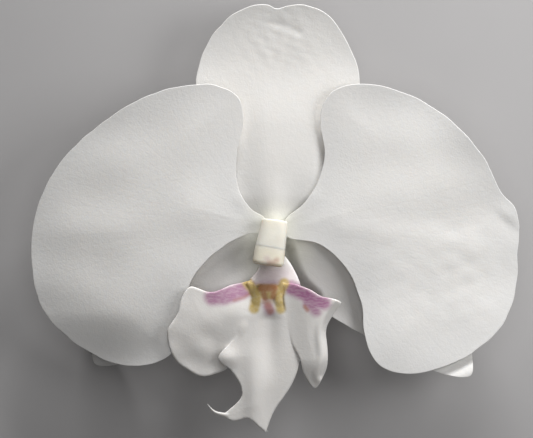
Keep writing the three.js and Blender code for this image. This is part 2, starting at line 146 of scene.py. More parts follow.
# Lines seen from the front, along which a piece is dented, sunk or raised.
DORSAL_DENT = [(-0.6, 42.2), (2.4, 41.6), (5.2, 40.2)]
CLAW_SIDE = [(2, -7.5), (2.4, -9.5), (3.6, -12.5), (5.2, -15), (7.7, -17.5)]
LEFT_CLAW_EDGE = [(-2, -0.2), (-5.6, 1.4), (-7.5, 4)]
RIGHT_CLAW_EDGE = [(2, -0.4), (5.6, 1.6), (8, 4.4)]
RIGHT_MIDRIB = [(15, -2.2), (28, -3.6), (42, -5.9)]

# Tubes, as the points of a centre line with half widths across and, where they differ, deep.
TENDRILS = [
    {"line": [(-10.2, -42.5, 14.7), (-13, -41.7, 14.9), (-14.6, -39.9, 15.6)],
     "across": [0.5, 0.3, 0.12], "deep": [0.4, 0.28, 0.12]},
    {"line": [(-2.6, -43.6, 14.7), (-2, -45.7, 14.3), (-1.6, -46.1, 13.3)],
     "across": [0.6, 0.4, 0.25], "deep": [0.4, 0.3, 0.2]},
]
CLAW = {
    "line": [(-0.2, -8.6, 11.5), (0.1, -11.6, 11.9), (0, -14, 12.6), (-0.6, -16.5, 13.1)],
    "across": [2.5, 4, 5.6, 4.2], "deep": [0.7, 0.6, 0.5, 0.4],
}
LIP_RIDGES = [
    {"line": [(-4.7, -15, 13.1), (-5.9, -19, 14.2), (-6.9, -23, 14.7), (-7.6, -27.5, 14.6)],
     "across": [0.8, 1.6, 1.7, 0.8], "deep": [0.4, 0.55, 0.55, 0.4]},
    {"line": [(3.1, -15, 13.2), (3.2, -19, 14.1), (3.5, -23, 14.6), (4.2, -28, 14.5)],
     "across": [0.7, 1.2, 1.2, 0.7], "deep": [0.3, 0.35, 0.35, 0.3]},
]
CALLUS_WINGS = [
    {"line": [(-6, -14, 13.2), (-4.8, -15.3, 13.6), (-3.9, -17, 14.2), (-4.4, -20.2, 14.6)],
     "across": [0.4, 1.1, 1.3, 0.8], "deep": [0.4, 0.5, 0.55, 0.2], "side": (1, 0.6, 0)},
    {"line": [(2, -14.2, 13.3), (1.1, -15.6, 13.7), (0.8, -17.2, 14.3), (1.2, -20.2, 14.6)],
     "across": [0.4, 1, 1.2, 0.8], "deep": [0.4, 0.5, 0.55, 0.2], "side": (1, -0.4, 0)},
]
CALLUS_MOUND = {"centre": (-1.6, -16.3, 13.9), "half": (3, 2.2, 0.8)}
COLUMN = {
    "line": [(-0.1, -0.6, 14.5), (-0.5, -3.6, 14.9), (-1.05, -6.6, 15.2), (-1.55, -10.2, 15.5)],
    "across": [2.8, 3.05, 3.3, 3.4], "deep": [1.9, 2, 2, 1.9],
}
COLUMN_STEM = {
    "line": [(-0.1, -2.8, 9.9), (-0.1, -2.8, 12.2), (-0.2, -2.8, 14.6)],
    "across": [2.6, 2.6, 2.6], "deep": [2.4, 2.2, 2.1],
}
FOOT = {
    "line": [(-0.3, -4.4, 11.6), (-0.45, -6.6, 11.4), (-0.6, -9.3, 11.5)],
    "across": [2.1, 1.9, 1.6], "deep": [1.3, 1.1, 0.95],
}
# The seam between column and anther cap, and the room under the cap.
SEAM = {"place": (-1, -6.3, 15.5), "turn": 0.18, "gap": 0.006}
CAP_HOLLOW = {"centre": (-1.3, -8.3, 14.4), "half": (2.5, 1.45, 1.9)}
POLLEN = {"centre": (-1.3, -8.6, 14.8), "half": (0.75, 0.65, 0.75), "spacing": 2}
STIPE = {
    "line": [(-1.3, -8.65, 14), (-1.3, -8.6, 13.5), (-1.3, -8.35, 12.95)],
    "across": [0.42, 0.3, 0.5], "deep": [0.2, 0.18, 0.25],
}
STALK = {
    "line": [
        (0, -3, 9.6), (0, -3, 7.6), (0.3, -0.8, 4.3), (2.2, 4.2, 2.2), (7.5, 8, 1.7),
        (14, 6, 1.55), (19.5, 0, 1.5), (23, -8, 1.45), (24, -16, 1.45),
    ],
    "across": [3, 2.7, 2.2, 1.9, 1.8, 1.7, 1.65, 1.6, 1.6],
    "side": (1, 0, 1),
}

# Steps in which a curve is traced from one given point to the next.
STEPS_BETWEEN = 24

# How a sheet's mesh is laid out: its rings crowd a little towards the rim and end short of it, two
# more lead over to the rim's rounding, both counted in thicknesses of the edge, and the sheet thins
# over a stretch that is a multiple of the change in thickness.
RING_CROWDING = 0.85
RINGS_END = 0.7
LEAD_OVER = (0.65, 0.5)
ROUNDING_STEPS = 5
THINNING = 17

# Mesh sizes of the skins round joined forms, in millimetres, and how often each is softened.
COLUMN_SKIN = (0.12, 16)
FOOT_SKIN = (0.14, 4)
LIP_SOFTENING = 4
CREASE_ANGLE = math.radians(50)

# The floor, and each soft light with its place and width in metres. The camera looks straight
# down, and its view is measured at the petals' height.
FLOOR_HALF = 3000
FLOOR_LEVEL = -0.03
LAMPS = [
    ("Far light", (0.03, 0.5, 0.12), 0.12, "far"),
    ("Upper light", (0.1, 0.3, 0.12), 0.12, "upper"),
    ("Near light", (0.16, 0.04, 0.14), 0.12, "near"),
    ("Overhead light", (0, 0, 0.32), 0.22, "overhead"),
]
CAMERA_OVER = (-0.00184, -0.00027)
PETAL_LEVEL = 0.012
SENSOR_WIDTH = 36.0


# Numbers and curves.


def step(value, low, high):
    """A smooth step from 0 to 1 as a value goes from one limit to the other."""
    t = np.clip((value - low) / (high - low), 0, 1)
    return t * t * (3 - 2 * t)


def bump(distance, width):
    """A bump of height 1 that fades over a width."""
    return np.exp(-((distance / width) ** 2))


def mix(first, second, share):
    """A value between two others, nearer to the second the larger its share."""
    return first + (second - first) * share


def ripples(x, y, size, seed, waves=9):
    """A seeded soft unevenness, mostly between -1 and 1, with waves of about the given size."""
    random = np.random.default_rng(seed)
    total = 0
    for _ in range(waves):
        heading, phase = random.uniform(0, 2 * math.pi, 2)
        length = size * random.uniform(0.7, 1.4)
        along = x * math.cos(heading) + y * math.sin(heading)
        total = total + np.sin(2 * math.pi * along / length + phase)
    return total / math.sqrt(waves)


def path_distance(x, y, path):
    """How far each point of the plan is from a line of points."""
    nearest = np.full(np.shape(x), np.inf)
    for (ax, ay), (bx, by) in zip(path, path[1:]):
        dx, dy = bx - ax, by - ay
        t = np.clip(((x - ax) * dx + (y - ay) * dy) / (dx * dx + dy * dy), 0, 1)
        nearest = np.minimum(nearest, np.hypot(x - ax - t * dx, y - ay - t * dy))
    return nearest


def smooth_curve(points, count, closed=False):
    """Evenly spaced points on a smooth curve through the given ones."""
    p = np.array(points, float)
    if closed:
        padded = [p[-1], *p, p[0], p[1]]
    else:
        padded = [2 * p[0] - p[1], *p, 2 * p[-1] - p[-2]]
    t = np.linspace(0, 1, STEPS_BETWEEN, endpoint=False)[:, None]
    dense = []
    for a, b, c, d in zip(padded, padded[1:], padded[2:], padded[3:]):
        before, span, after = (np.linalg.norm(v) ** 0.5 for v in (b - a, c - b, d - c))
        leave = ((b - a) / before - (c - a) / (before + span) + (c - b) / span) * span
        reach = ((c - b) / span - (d - b) / (span + after) + (d - c) / after) * span
        dense.append(
            b * (2 * t**3 - 3 * t**2 + 1) + leave * (t**3 - 2 * t**2 + t)
            + c * (3 * t**2 - 2 * t**3) + reach * (t**3 - t**2)
        )
    dense = np.vstack(dense + [p[:1] if closed else p[-1:]])
    lengths = np.r_[0, np.cumsum(np.linalg.norm(np.diff(dense, axis=0), axis=1))]
    wanted = np.linspace(0, lengths[-1], count, endpoint=not closed)
    return np.stack([np.interp(wanted, lengths, dense[:, k]) for k in range(p.shape[1])], 1)


# Heights of the middle surfaces above the floor.


def dorsal_height(x, y):
    """The dorsal sepal keeps close behind the petals, with a band along its middle and a cup."""
    seat = bump(x, 3.5) * (1 - step(y, 2, 10))
    lean = 0.8 * mix(step(y, -1, 5), 1.7, seat) - 1.5 * step(y, 5, 36)
    tip = 0.007 * np.maximum(y - 32, 0) ** 2
    arch = mix(-0.001, 0.002, step(y, 14, 30)) * (x - 0.8) ** 2
    strength = mix(0.3, 1, step(y, 1, 10)) * (1 - step(y, 20, 32))
    band = 0.4 * (step(x, -8.5, -1.5) - step(x, 8, 12)) * strength
    dent = -0.1 * bump(path_distance(x, y, DORSAL_DENT), 0.8)
    mottle = 0.024 * ripples(x, y, 2.6, 3) * bump(np.hypot(x - 1, y - 39), 9)
    return SEPAL_ROOT + lean + tip + arch + band + dent + mottle


def sepal_axes(x, y, tip):
    """How far each point is along a sepal and to the side of its middle, and the sepal's length."""
    length = math.hypot(*tip)
    return (x * tip[0] + y * tip[1]) / length, (x * tip[1] - y * tip[0]) / length, length


def left_sepal_height(x, y):
    """The left lateral sepal leans back from the gap beside the column, and rests on its tip."""
    along, off, length = sepal_axes(x, y, LEFT_LATERAL_SEPAL["tip"])
    lean = mix(SEPAL_ROOT, SEPAL_REST, step(along, 20, length))
    curl = 0.004 * off**2 * step(along, 6, 24)
    return lean + curl + 0.08 * ripples(x, y, 9, 21) * step(along, 8, 20)


def right_sepal_height(x, y):
    """The right lateral sepal sinks beside the claw, follows its petal, and curls up past it."""
    out = np.hypot(x, y)
    claw_side = path_distance(x, y, CLAW_SIDE)
    sunk = SEPAL_ROOT - 0.9 * bump(out - 22, 12) - 2 * (1 - step(claw_side, 0.2, 3.1))
    past_petal = ((x - 42.5) * 3.6 - (y + 29.1) * 8) / 8.8
    curl = 1.3 * step(past_petal, 0.6, 4)
    behind = petal_height(x, y, *RIGHT_PETAL_FORM) - SEPAL_BEHIND + curl
    return mix(sunk, behind, step(out, 30, 44)) + 0.05 * ripples(x, y, 9, 22) * step(out, 8, 20)


def petal_height(x, y, swell, sink, droop):
    """A petal swells from its root and sinks again; its top edge curls up, its low edge droops."""
    out = np.maximum(np.abs(x) - 3, 0)
    curl = 0.003 * np.maximum(y - 10, 0) ** 2
    return PETAL_ROOT + swell * out - sink * out**2 + curl - droop * step(-y, 14, 34)


def left_petal_height(x, y):
    """The left petal has a soft ridge along its midrib, a hollow under it and a low far corner."""
    reach = step(-x, 12, 40)
    midrib = mix(-0.5, -2.8, step(-x, 10, 48))
    ridge = reach * (0.06 * bump(y - midrib, 3.4) - 0.06 * bump(y - midrib + 6, 4))
    crease = -0.015 * bump(y - midrib + 2.6, 0.9) * (step(-x, 26, 34) - step(-x, 44, 49))
    corner = -1.4 * step(-y, 20, 33) * step(-x, 22, 40)
    claw_edge = 0.12 * bump(path_distance(x, y, LEFT_CLAW_EDGE), 1.8)
    waves = 0.08 * ripples(x, y, 16, 5) * step(-x, 10, 20)
    return petal_height(x, y, *LEFT_PETAL_FORM) + ridge + crease + corner + claw_edge + waves


def right_petal_height(x, y):
    """The right petal has a raised upper corner and a small folded ear at its outer edge."""
    inward = ((x - 48.6) * 3.2 + (y - 1) * 3.6) / 4.8
    along = ((x - 50.2) * 3.6 - (y + 0.5) * 3.2) / 4.8
    ear = 0.3 * step(inward, -1.4, 1.4) * bump(along, 3)
    fold = -0.04 * bump(inward + 0.6, 0.5) * bump(along, 3)
    corner = 2.7 * bump(np.hypot(x - 50, y - 20), 14)
    pebbles = 0.025 * ripples(x, y, 4.2, 8) * bump(np.hypot((x - 38) / 1.5, y + 12), 11)
    midrib = 0.12 * bump(path_distance(x, y, RIGHT_MIDRIB), 2.6)
    claw_edge = 0.12 * bump(path_distance(x, y, RIGHT_CLAW_EDGE), 1.8)
    waves = 0.08 * ripples(x, y, 16, 6) * step(x, 10, 20)
    relief = corner + ear + fold + pebbles + midrib + claw_edge + waves
    return petal_height(x, y, *RIGHT_PETAL_FORM) + relief


def middle_lobe_height(x, y):
    """The middle lobe rises from the claw to the callus, and falls to its tip along a keel."""
    rise = 2.8 * step(-y, 10, 21.5) - 0.2 * step(-y, 28, 46) - 0.5 * (1 - step(-y, 11.5, 14))
    groove = -0.8 * bump(x + 1.2, 2.2) * step(-y, 19, 22) * step(y, -37, -25)
    keel = 0.7 * bump(x + 4.3, 2.2) * step(-y, 25, 38)
    tooth = 0.8 * bump(np.hypot(x + 10.6, y + 30), 2.2)
    return LIP_ROOT + rise + groove + keel + tooth


def left_lobe_height(x, y):
    """The left side lobe grows out of the middle lobe's flank and spreads over the petal."""
    spread = 1.4 + 0.12 * np.maximum(-x - 4, 0) - 1.1 * step(-y, 20, 34)
    free = LIP_ROOT + spread + 0.06 * ripples(x, y, 6, 12) * step(-x, 9, 16)
    return mix(free, middle_lobe_height(x, y), 1 - step(-x, 7, 14))


def right_lobe_height(x, y):
    """The right side lobe stands up, and its rim curls outward in a narrow fold."""
    rim = path_distance(x, y, smooth_curve(RIGHT_LOBE_RIM, 24))
    curl = 0.35 * bump(rim - 1.5, 0.8) - 0.6 * (1 - step(rim, 0, 1.5))
    return LIP_ROOT + 2.7 + 1.4 * step(x, 1.5, 9.4) + curl - step(-y, 30, 37)


# Closed shapes, each as (vertices, faces).


def bands(rows, columns, start=0, closed=False):
    """The faces between rows of points, where a closed row joins its last point to its first."""
    width = columns if closed else columns + 1
    at = lambda row, column: start + row * width + column % width
    return [
        (at(r, c), at(r + 1, c), at(r + 1, c + 1), at(r, c + 1))
        for r in range(rows) for c in range(columns)
    ]


def thicken(x, y, height, faces, rim, half, keel=0):
    """Turns a middle surface into a closed sheet: both faces, and a wall round the given rim."""
    reach = 0.02
    slope_x = (height(x + reach, y) - height(x - reach, y)) / (2 * reach)
    slope_y = (height(x, y + reach) - height(x, y - reach)) / (2 * reach)
    normals = np.stack([-slope_x, -slope_y, np.ones_like(x)], 1)
    normals /= np.linalg.norm(normals, axis=1)[:, None]
    middle = np.stack([x, y, height(x, y)], 1)
    front = middle + normals * half[:, None]
    back = middle - normals * (half + keel)[:, None]
    points = np.vstack([front, back])
    points[:, 2] = np.maximum(points[:, 2], 0)
    count = len(x)
    closing = [
        (a, a + count, b + count, b) for a, b in zip(rim, rim[1:] + rim[:1])
    ]
    under = [tuple(i + count for i in reversed(face)) for face in faces]
    return points, list(faces) + under + closing


def flesh(x, y, outline, core, edge):
    """Half the thickness of a sheet, which thins towards its outline."""
    inside = path_distance(x, y, [*outline, outline[0]])
    return mix(edge, core, step(inside, 0, THINNING * (core - edge))) / 2


def blade(shape, height, core, edge, spokes, rings, ripple=0.0, seed=1, keel=None):
    """A sheet inside a closed outline, as rings round a hub, with a rounded edge."""
    outline = smooth_curve(shape["edge"], spokes, closed=True)
    ahead, behind = np.roll(outline, -1, 0), np.roll(outline, 1, 0)
    area = np.sum(outline[:, 0] * ahead[:, 1] - ahead[:, 0] * outline[:, 1])
    if area < 0:
        outline, ahead, behind = outline[::-1], behind[::-1], ahead[::-1]
    along = ahead - behind
    outward = np.stack([along[:, 1], -along[:, 0]], 1)
    outward /= np.linalg.norm(outward, axis=1)[:, None]
    unevenness = ripples(outline[:, 0], outline[:, 1], 5, seed)
    outline = outline + outward * (ripple * unevenness)[:, None]
    hub = np.array(shape["hub"], float)
    spoke = outline - hub
    length = np.linalg.norm(spoke, axis=1)
    turn = np.linspace(0.5 * math.pi, 0, ROUNDING_STEPS + 1)[1:]
    insets = [*(share * edge for share in LEAD_OVER), *(edge / 2 * (1 - np.cos(turn)))]
    shares = np.linspace(0, 1, rings + 1)[1:-1] ** RING_CROWDING
    reaches = [np.minimum(share, 1 - RINGS_END * edge / length) for share in shares]
    reaches += [1 - inset / length for inset in insets]
    roundness = [1.0] * (rings + len(LEAD_OVER) - 1) + list(np.sin(turn))
    x = np.r_[hub[0], np.concatenate([hub[0] + r * spoke[:, 0] for r in reaches])]
    y = np.r_[hub[1], np.concatenate([hub[1] + r * spoke[:, 1] for r in reaches])]
    half = flesh(x, y, outline, core, edge) * np.r_[1, np.repeat(roundness, spokes)]
    faces = [(0, 1 + s, 1 + (s + 1) % spokes) for s in range(spokes)]
    faces += bands(len(reaches) - 1, spokes, 1, closed=True)
    rim = list(range(len(x) - spokes, len(x)))
    rib = keel(x, y) * (half > core / 4) if keel else np.zeros_like(x)
    return thicken(x, y, height, faces, rim, half, rib)


def patch(shape, height, core, edge, rows, columns):
    """A sheet between four side curves that meet at their ends."""
    down = np.linspace(0, 1, rows + 1)[:, None, None]
    over = np.linspace(0, 1, columns + 1)[None, :, None]
    west = smooth_curve(shape["left"], rows + 1)[:, None]
    east = smooth_curve(shape["right"], rows + 1)[:, None]
    north = smooth_curve(shape["throat"], columns + 1)[None]
    south = smooth_curve(shape["tip"], columns + 1)[None]
    plan = north * (1 - down) + south * down + west * (1 - over) + east * over
    plan = plan - west[:1] * (1 - down) * (1 - over) - east[:1] * (1 - down) * over
    plan = plan - west[-1:] * down * (1 - over) - east[-1:] * down * over
    x, y = plan.reshape(-1, 2).T
    at = lambda row, column: row * (columns + 1) + column
    rim = [at(r, 0) for r in range(rows)] + [at(rows, c) for c in range(columns)]
    rim += [at(r, columns) for r in range(rows, 0, -1)] + [at(0, c) for c in range(columns, 0, -1)]
    half = flesh(x, y, plan.reshape(-1, 2)[rim], core, edge)
    return thicken(x, y, height, bands(rows, columns), rim, half)


def tube(shape, sides=24, steps=24, profile=None):
    """A tube along a smooth line. Across is the half width nearest to its side, X if not given."""
    line = smooth_curve(shape["line"], steps + 1)
    tangents = np.gradient(line, axis=0)
    tangents /= np.linalg.norm(tangents, axis=1)[:, None]
    side = np.array(shape.get("side", (1, 0, 0)), float)
    sideways = side - tangents * (tangents @ side)[:, None]
    sideways /= np.linalg.norm(sideways, axis=1)[:, None]
    square = np.cross(tangents, sideways)
    t = np.linspace(0, 1, steps + 1)
    stations = np.linspace(0, 1, len(shape["across"]))
    widths = (shape["across"], shape.get("deep", shape["across"]))
    across, deep = (np.interp(t, stations, width) for width in widths)
    angle = np.linspace(0, 2 * math.pi, sides, endpoint=False)
    turned = np.ones((steps + 1, sides)) if profile is None else profile(t[:, None], angle[None])
    points = (
        line[:, None]
        + sideways[:, None] * (across[:, None] * np.cos(angle) * turned)[:, :, None]
        + square[:, None] * (deep[:, None] * np.sin(angle) * turned)[:, :, None]
    ).reshape(-1, 3)
    points = np.vstack([points, line[:1], line[-1:]])
    points[:, 2] = np.maximum(points[:, 2], 0)
    end, first, last = steps * sides, len(points) - 2, len(points) - 1
    faces = [face[:1] + face[:0:-1] for face in bands(steps, sides, closed=True)]
    faces += [(first, (s + 1) % sides, s) for s in range(sides)]
    faces += [(last, end + s, end + (s + 1) % sides) for s in range(sides)]
    return points, faces


def ball(centre, half, columns=32, rows=20, shaped=None):
    """A rounded body by its centre and three half widths, shaped(direction) times as wide."""
    turn = np.linspace(0, 2 * math.pi, columns, endpoint=False)
    tilt = np.linspace(0, math.pi, rows + 1)[1:-1]
    ring = lambda t: np.stack([np.sin(t) * np.cos(turn), np.sin(t) * np.sin(turn),
                               np.full(columns, math.cos(t))], 1)
    directions = np.vstack([[[0, 0, 1]]] + [ring(t) for t in tilt] + [[[0, 0, -1]]])
    size = np.ones(len(directions)) if shaped is None else shaped(directions)
    points = np.array(centre) + directions * size[:, None] * np.array(half)
    last = len(points) - 1
    end = last - columns
    faces = [(0, 1 + c, 1 + (c + 1) % columns) for c in range(columns)]
    faces += bands(rows - 2, columns, 1, closed=True)
    faces += [(last, end + (c + 1) % columns, end + c) for c in range(columns)]
    return points, faces


# Objects.


def make_object(name, parts):
    """One object of closed parts given in millimetres."""
    points = np.vstack([p for p, _ in parts]) * MM
    faces, start = [], 0
    for part_points, part_faces in parts:
        faces += [tuple(i + start for i in face) for face in part_faces]
        start += len(part_points)
    mesh = bpy.data.meshes.new(name)
    mesh.from_pydata(points.tolist(), [], faces)
    mesh.validate()
    mesh.shade_smooth()
    piece = bpy.data.objects.new(name, mesh)
    bpy.context.scene.collection.objects.link(piece)
    return piece


def with_modifiers_applied(piece):
    """Makes a piece's modified form its own mesh, smooth except along sharp creases."""
    graph = bpy.context.evaluated_depsgraph_get()
    shaped = bpy.data.meshes.new_from_object(piece.evaluated_get(graph))
    piece.modifiers.clear()
    old, piece.data = piece.data, shaped
    bpy.data.meshes.remove(old)
    shaped.shade_smooth()
    shaped.set_sharp_from_angle(angle=CREASE_ANGLE)
    return piece


def grown_together(name, parts, voxel, smoothing):
    """One skin round overlapping closed parts, softened where they meet."""
    piece = make_object(name, parts)
    skin = piece.modifiers.new("Skin", "REMESH")
    skin.mode = "VOXEL"
    skin.voxel_size = voxel * MM
    soften = piece.modifiers.new("Soften", "SMOOTH")
    soften.factor = 0.5
    soften.iterations = smoothing
    return with_modifiers_applied(piece)


def carved(piece, other, operation):
    """Joins another piece to this one, keeps what they share, or cuts the other one away."""
    change = piece.modifiers.new("Carve", "BOOLEAN")
    change.operation = operation
    change.object = other
    with_modifiers_applied(piece)
    mesh = other.data
    bpy.data.objects.remove(other)
    bpy.data.meshes.remove(mesh)


def half_space(place, turn, behind):
    """A large block on one side of an upright plane through a place, as a cutter."""
    reach = 40
    low, high = ((0, reach) if behind else (-reach, 0))
    corners = [(x, y, z) for x in (-reach, reach) for y in (low, high) for z in (-reach, reach)]
    cos, sin = math.cos(turn), math.sin(turn)
    points = [(place[0] + x * cos + y * sin, place[1] - x * sin + y * cos, place[2] + z)
              for x, y, z in corners]
    faces = [(0, 1, 3, 2), (4, 6, 7, 5), (0, 4, 5, 1), (2, 3, 7, 6), (0, 2, 6, 4), (1, 5, 7, 3)]
    return make_object("cutter", [(np.array(points), faces)])


def places(piece):
    """The vertices of a piece, in millimetres."""
    flat = np.zeros(len(piece.data.vertices) * 3)
    piece.data.vertices.foreach_get("co", flat)
    return flat.reshape(-1, 3) / MM


def paint(piece, name, masks):
    """Keeps three masks over the surface as one vector attribute."""
    layer = piece.data.attributes.new(name, "FLOAT_VECTOR", "POINT")
    layer.data.foreach_set("vector", np.stack(masks, 1).astype(np.float32).ravel())


def stand_for(piece, node, material):
    """Gives a piece its material, and its place on the body instead of the CAD node."""
    piece.data.materials.clear()
    piece.data.materials.append(material)
    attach(piece, "root")
    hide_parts(node)


# Shader nodes. Veins are measured in metres, and so are the depths of the reliefs.

VEIN_WIDTH = 0.00028
VEIN_SPREAD = 22.0
VEIN_WANDER = 0.0011
VEIN_FORKS = (0.0, 0.012, 0.026)  # distance from the root at which each order of veins starts
FORK_FADE = 0.008
ROOT_REACH = 0.012
# Smoothest and roughest skin, and the strength and depth of its relief.
BLADE_SURFACE = (0.44, 0.6, 0.6, 0.00005)
MARKED_SURFACE = (0.36, 0.52, 0.7, 0.00004)
WAXY_SURFACE = (0.42, 0.58, 0.5, 0.00004)
# How much of the light sinks into thin and into thick flesh.
THIN_FLESH = 0.25
THICK_FLESH = 0.6


class Wiring:
    """Adds nodes to a tree. An input takes a number, a tuple or another node's output."""

    def __init__(self, tree):
        self.tree = tree

    def add(self, kind, inputs=(), **settings):
        node = self.tree.nodes.new(kind)
        for key, value in settings.items():
            setattr(node, key, value)
        for key, value in dict(inputs).items():
            if isinstance(value, bpy.types.NodeSocket):
                self.tree.links.new(value, node.inputs[key])
            else:
                node.inputs[key].default_value = value
        return node

    def math(self, operation, *values):
        node = self.add("ShaderNodeMath", enumerate(values), operation=operation)
        return node.outputs[0]

    def vector(self, operation, *values):
        node = self.add("ShaderNodeVectorMath", enumerate(values), operation=operation)
        return node.outputs[0]

    def ramp(self, value, low, high, to_low=0.0, to_high=1.0):
        inputs = {"Value": value, "From Min": low, "From Max": high,
                  "To Min": to_low, "To Max": to_high}
        node = self.add("ShaderNodeMapRange", inputs, interpolation_type="SMOOTHSTEP")
        return node.outputs["Result"]

    def noise(self, position, scale, detail=2.0, kind="Fac"):
        inputs = {"Vector": position, "Scale": scale, "Detail": detail}
        return self.add("ShaderNodeTexNoise", inputs).outputs[kind]

    def blend(self, share, first, second, mode="MIX"):
        node = self.add("ShaderNodeMix", data_type="RGBA", blend_type=mode)
        for index, value in ((0, share), (6, first), (7, second)):
            if isinstance(value, bpy.types.NodeSocket):
                self.tree.links.new(value, node.inputs[index])
            else:
                node.inputs[index].default_value = value
        return node.outputs[2]


def new_group(name, inputs, outputs):
    """A shader node group with its sockets, and the wiring, inlet and outlet to fill it."""
    group = bpy.data.node_groups.new(name, "ShaderNodeTree")
    for label, kind in inputs.items():
        group.interface.new_socket(label, in_out="INPUT", socket_type=kind)
    for label in outputs:
        group.interface.new_socket(label, in_out="OUTPUT", socket_type="NodeSocketFloat")
    wire = Wiring(group)
    inlet = wire.add("NodeGroupInput")
    outlet = wire.add("NodeGroupOutput")
    return group, wire, inlet.outputs, outlet.inputs


def venation_group(name):
    """Veins that leave a root side by side, curve outward and fork, and the shade at that root."""
    inputs = {
        "Position": "NodeSocketVector", "Root": "NodeSocketVector",
        "Heading": "NodeSocketFloat", "Spread": "NodeSocketFloat",
        "Count": "NodeSocketFloat", "Width": "NodeSocketFloat",
    }
    group, wire, given, result = new_group(name, inputs, ["Veins", "Root Shade"])
    wander = wire.noise(given["Position"], 260.0, 1.0, "Color")
    wander = wire.vector("SUBTRACT", wander, (0.5, 0.5, 0.5))
    wander = wire.vector("MULTIPLY", wander, (VEIN_WANDER, VEIN_WANDER, 0.0))
    place = wire.vector("ADD", given["Position"], wander)
    place = wire.vector("SUBTRACT", place, given["Root"])
    turned = wire.add("ShaderNodeVectorRotate",
                      {"Vector": place, "Angle": wire.math("MULTIPLY", given["Heading"], -1.0)},
                      rotation_type="Z_AXIS").outputs[0]
    parts = wire.add("ShaderNodeSeparateXYZ", {"Vector": turned}).outputs
    squares = wire.math("ADD", wire.math("MULTIPLY", parts["X"], parts["X"]),
                        wire.math("MULTIPLY", parts["Y"], parts["Y"]))
    distance = wire.math("SQRT", squares)
    angle = wire.math("ARCTAN2", parts["Y"], parts["X"])
    stretch = wire.math("MULTIPLY_ADD", distance, given["Spread"], 1.0)
    strand = wire.math("DIVIDE", angle, stretch)
    veins = None
    for order, starts in enumerate(VEIN_FORKS):
        count = wire.math("MULTIPLY", given["Count"], float(2**order))
        turn = wire.math("MULTIPLY_ADD", strand, count, 0.5)
        off = wire.math("ABSOLUTE", wire.math("SUBTRACT", turn, wire.math("ROUND", turn)))
        gap = wire.math("DIVIDE", wire.math("MULTIPLY", wire.math("MULTIPLY", off, stretch),
                                            distance), count)
        line = wire.ramp(gap, 0.0, given["Width"], 1.0, 0.0)
        if order:
            line = wire.math("MULTIPLY", line, wire.ramp(distance, starts, starts + FORK_FADE))
            line = wire.math("MULTIPLY", line, 0.8**order)
        veins = line if veins is None else wire.math("MAXIMUM", veins, line)
    wire.tree.links.new(veins, result["Veins"])
    wire.tree.links.new(wire.ramp(distance, 0.0, ROOT_REACH, 1.0, 0.0), result["Root Shade"])
    return group


def skin_group(name):
    """Living skin: a fine grain of cells, and soft clouds of slightly different tone."""
    inputs = {"Position": "NodeSocketVector", "Cell Scale": "NodeSocketFloat",
              "Cloud Scale": "NodeSocketFloat"}
    group, wire, given, result = new_group(name, inputs, ["Grain", "Clouds"])
    cells = wire.add("ShaderNodeTexVoronoi",
                     {"Vector": given["Position"], "Scale": given["Cell Scale"]},
                     feature="SMOOTH_F1").outputs["Distance"]
    fine = wire.noise(given["Position"], wire.math("MULTIPLY", given["Cell Scale"], 0.35), 3.0)
    grain = wire.math("ADD", wire.math("MULTIPLY", cells, -0.5), fine)
    wire.tree.links.new(grain, result["Grain"])
    clouds = wire.noise(given["Position"], given["Cloud Scale"], 3.0)
    wire.tree.links.new(wire.ramp(clouds, 0.3, 0.7), result["Clouds"])
    return group


def shared(name, maker):
    """The node group of that name, made the first time it is asked for."""
    return bpy.data.node_groups.get(name) or maker(name)


def start_material(name):
    """A material with its wiring, its shader and the Object position of each point."""
    material = bpy.data.materials.new(name)
    material.use_nodes = True
    wire = Wiring(material.node_tree)
    shader = material.node_tree.nodes["Principled BSDF"]
    position = wire.add("ShaderNodeTexCoord").outputs["Object"]
    return material, wire, shader, position


def use_group(wire, group, **inputs):
    """A node for a shader node group, with its inputs given by name, and its outputs."""
    node = wire.add("ShaderNodeGroup", node_tree=group)
    for key, value in inputs.items():
        socket = node.inputs[key.replace("_", " ")]
        if isinstance(value, bpy.types.NodeSocket):
            wire.tree.links.new(value, socket)
        else:
            socket.default_value = value
    return node.outputs


def living_skin(wire, position, cell_scale, cloud_scale):
    """The grain and the clouds of living skin, at two scales."""
    skin = use_group(wire, shared("Living Skin", skin_group), Position=position,
                     Cell_Scale=cell_scale, Cloud_Scale=cloud_scale)
    return skin["Grain"], skin["Clouds"]


def living_tissue(wire, shader, tone, grain, relief, surface, weight):
    """Colours the flesh, roughens and embosses its skin, and lets light sink a little way in."""
    smoothest, roughest, strength, depth = surface
    wire.tree.links.new(tone, shader.inputs["Base Color"])
    rough = wire.ramp(grain, 0.0, 0.7, smoothest, roughest)
    wire.tree.links.new(rough, shader.inputs["Roughness"])
    bumps = wire.add("ShaderNodeBump",
                     {"Strength": strength, "Distance": depth, "Height": relief})
    wire.tree.links.new(bumps.outputs["Normal"], shader.inputs["Normal"])
    shader.inputs["Subsurface Weight"].default_value = weight
    shader.inputs["Subsurface Radius"].default_value = (1.0, 0.9, 0.8)
    shader.inputs["Subsurface Scale"].default_value = 0.0012
    shader.inputs["Specular IOR Level"].default_value = 0.35


def dulled(colour, share):
    """A colour made darker by a share, with its alpha kept."""
    return (*(c * (1 - share) for c in colour[:3]), 1.0)


